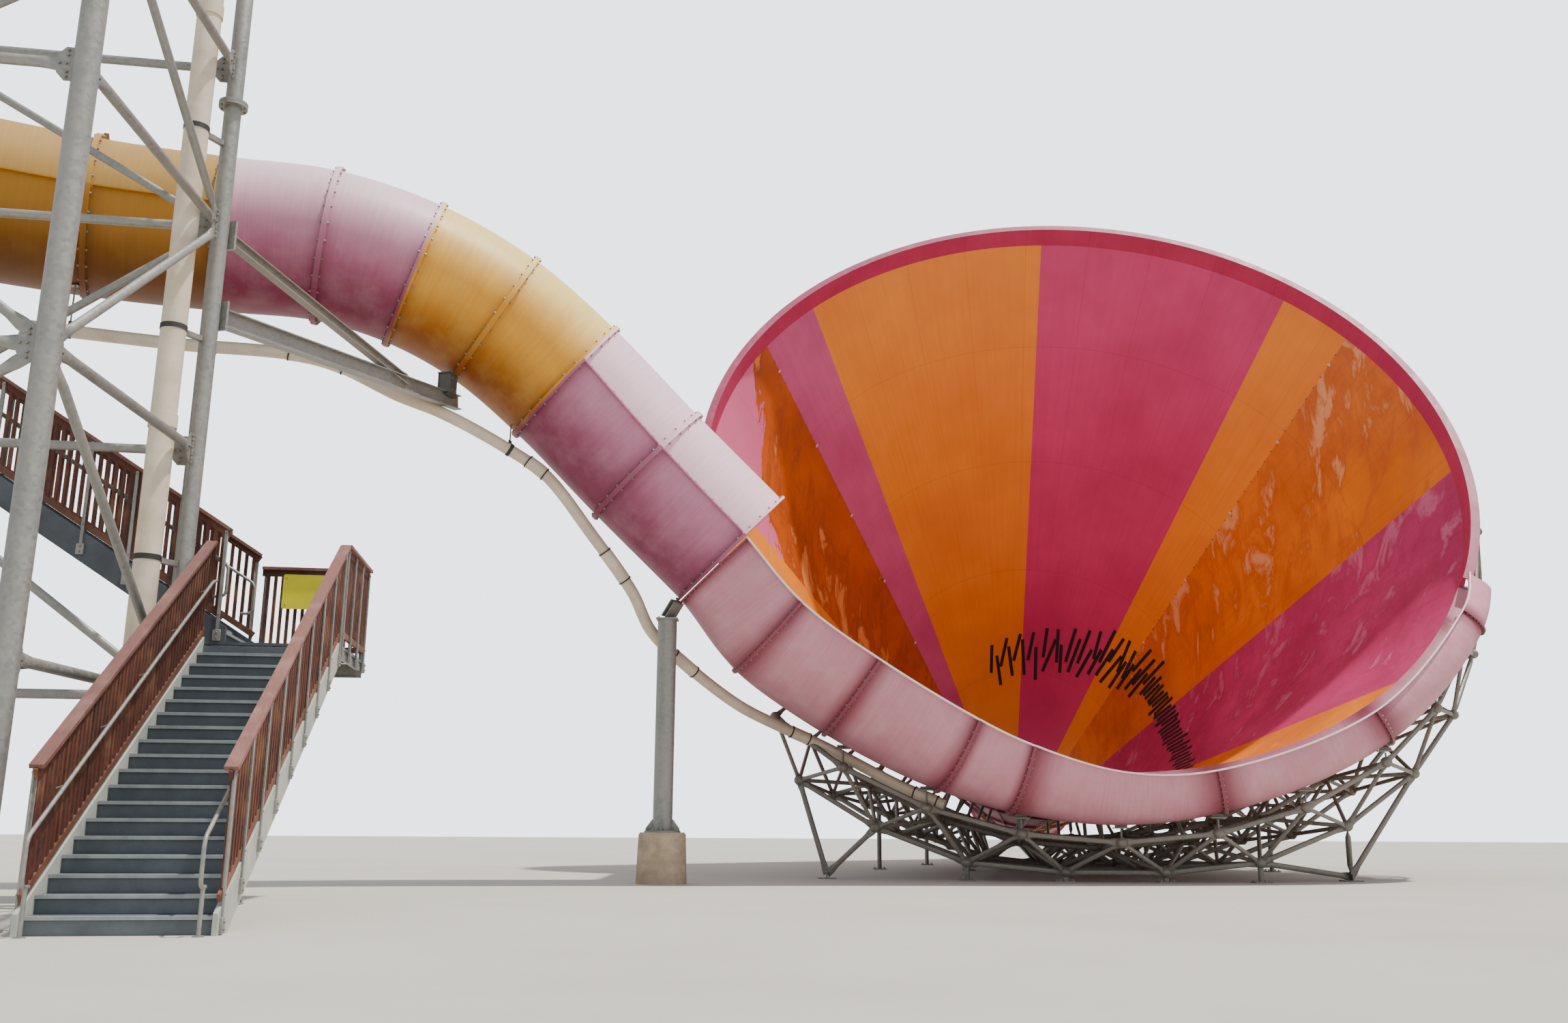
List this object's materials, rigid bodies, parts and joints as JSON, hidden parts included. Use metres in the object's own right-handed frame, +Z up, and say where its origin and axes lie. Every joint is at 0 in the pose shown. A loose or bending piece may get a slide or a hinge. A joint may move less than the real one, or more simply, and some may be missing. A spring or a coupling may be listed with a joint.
{
  "type": "water slide tower",
  "caption": "Funnel water slide: an enclosed flume from a braced pipe tower opens into a channel round the rim of a giant cone that lies on a space frame, with a guarded stair beside the tower.",
  "frame": {"origin": "bottom centre of the whole ride's box, on level ground", "axes": "+Z up, +Y from the front of the tower towards the small end of the funnel, +X to the right of a person who looks into the funnel's mouth"},
  "size_m": [32.6138, 33.9636, 17.9469],
  "materials": {
    "fibreglass_orange": "glossy gel coat, faded to a dusty yellow orange outside",
    "fibreglass_magenta": "glossy gel coat, faded towards pink",
    "fibreglass_rim_red": "satin gel coat, dark red fins and a pale lip",
    "fibreglass_pink": "satin gel coat, chalky and sun-bleached",
    "fibreglass_yellow": "satin gel coat, chalky and sun-bleached",
    "galvanised_steel": "dull hot-dip zinc with a light dust",
    "concrete": "rough cast concrete, tan",
    "pipe_cream": "satin cream paint",
    "stair_grey": "worn grey deck paint",
    "guard_wood": "red-brown stained boards, weathered"
  },
  "bodies": {
    "root": {"channel_segment_1": "fibreglass_pink", "channel_segment_2": "fibreglass_pink", "channel_segment_3": "fibreglass_pink", "channel_segment_4": "fibreglass_pink", "channel_segment_5": "fibreglass_pink", "channel_segment_6": "fibreglass_pink", "channel_segment_7": "fibreglass_pink", "channel_segment_8": "fibreglass_pink", "column_pedestal": "concrete", "flume_bracket_left": "galvanised_steel", "flume_bracket_right": "galvanised_steel", "flume_column": "galvanised_steel", "funnel_exit_collar": "fibreglass_magenta", "funnel_panel_01": "fibreglass_orange", "funnel_panel_02": "fibreglass_orange", "funnel_panel_03": "fibreglass_magenta", "funnel_panel_04": "fibreglass_orange", "funnel_panel_05": "fibreglass_magenta", "funnel_panel_06": "fibreglass_orange", "funnel_panel_07": "fibreglass_orange", "funnel_panel_08": "fibreglass_magenta", "funnel_panel_09": "fibreglass_orange", "funnel_panel_10": "fibreglass_magenta", "guard_flight_1_left": "guard_wood", "guard_flight_1_right": "guard_wood", "guard_flight_2_left": "guard_wood", "guard_flight_2_right": "guard_wood", "guard_landing_1": "guard_wood", "guard_landing_2": "guard_wood", "rim_band_left": "fibreglass_rim_red", "rim_band_right": "fibreglass_rim_red", "rim_band_top_left": "fibreglass_rim_red", "rim_band_top_right": "fibreglass_rim_red", "riser_pipe": "pipe_cream", "space_frame_centre": "galvanised_steel", "space_frame_left": "galvanised_steel", "space_frame_right": "galvanised_steel", "stair_flight_1": "stair_grey", "stair_flight_2": "stair_grey", "stair_landing_1": "galvanised_steel", "stair_landing_2": "galvanised_steel", "supply_pipe": "pipe_cream", "tower_bracing_back": "galvanised_steel", "tower_bracing_front": "galvanised_steel", "tower_bracing_left": "galvanised_steel", "tower_bracing_right": "galvanised_steel", "tower_leg_back_left": "galvanised_steel", "tower_leg_back_right": "galvanised_steel", "tower_leg_front_left": "galvanised_steel", "tower_leg_front_right": "galvanised_steel", "tube_segment_1": "fibreglass_yellow", "tube_segment_2": "fibreglass_yellow", "tube_segment_3": "fibreglass_pink", "tube_segment_4": "fibreglass_pink", "tube_segment_5": "fibreglass_yellow", "tube_segment_6": "fibreglass_yellow", "tube_segment_7": "fibreglass_pink", "tube_segment_8": "fibreglass_pink"}
  },
  "joints": []
}
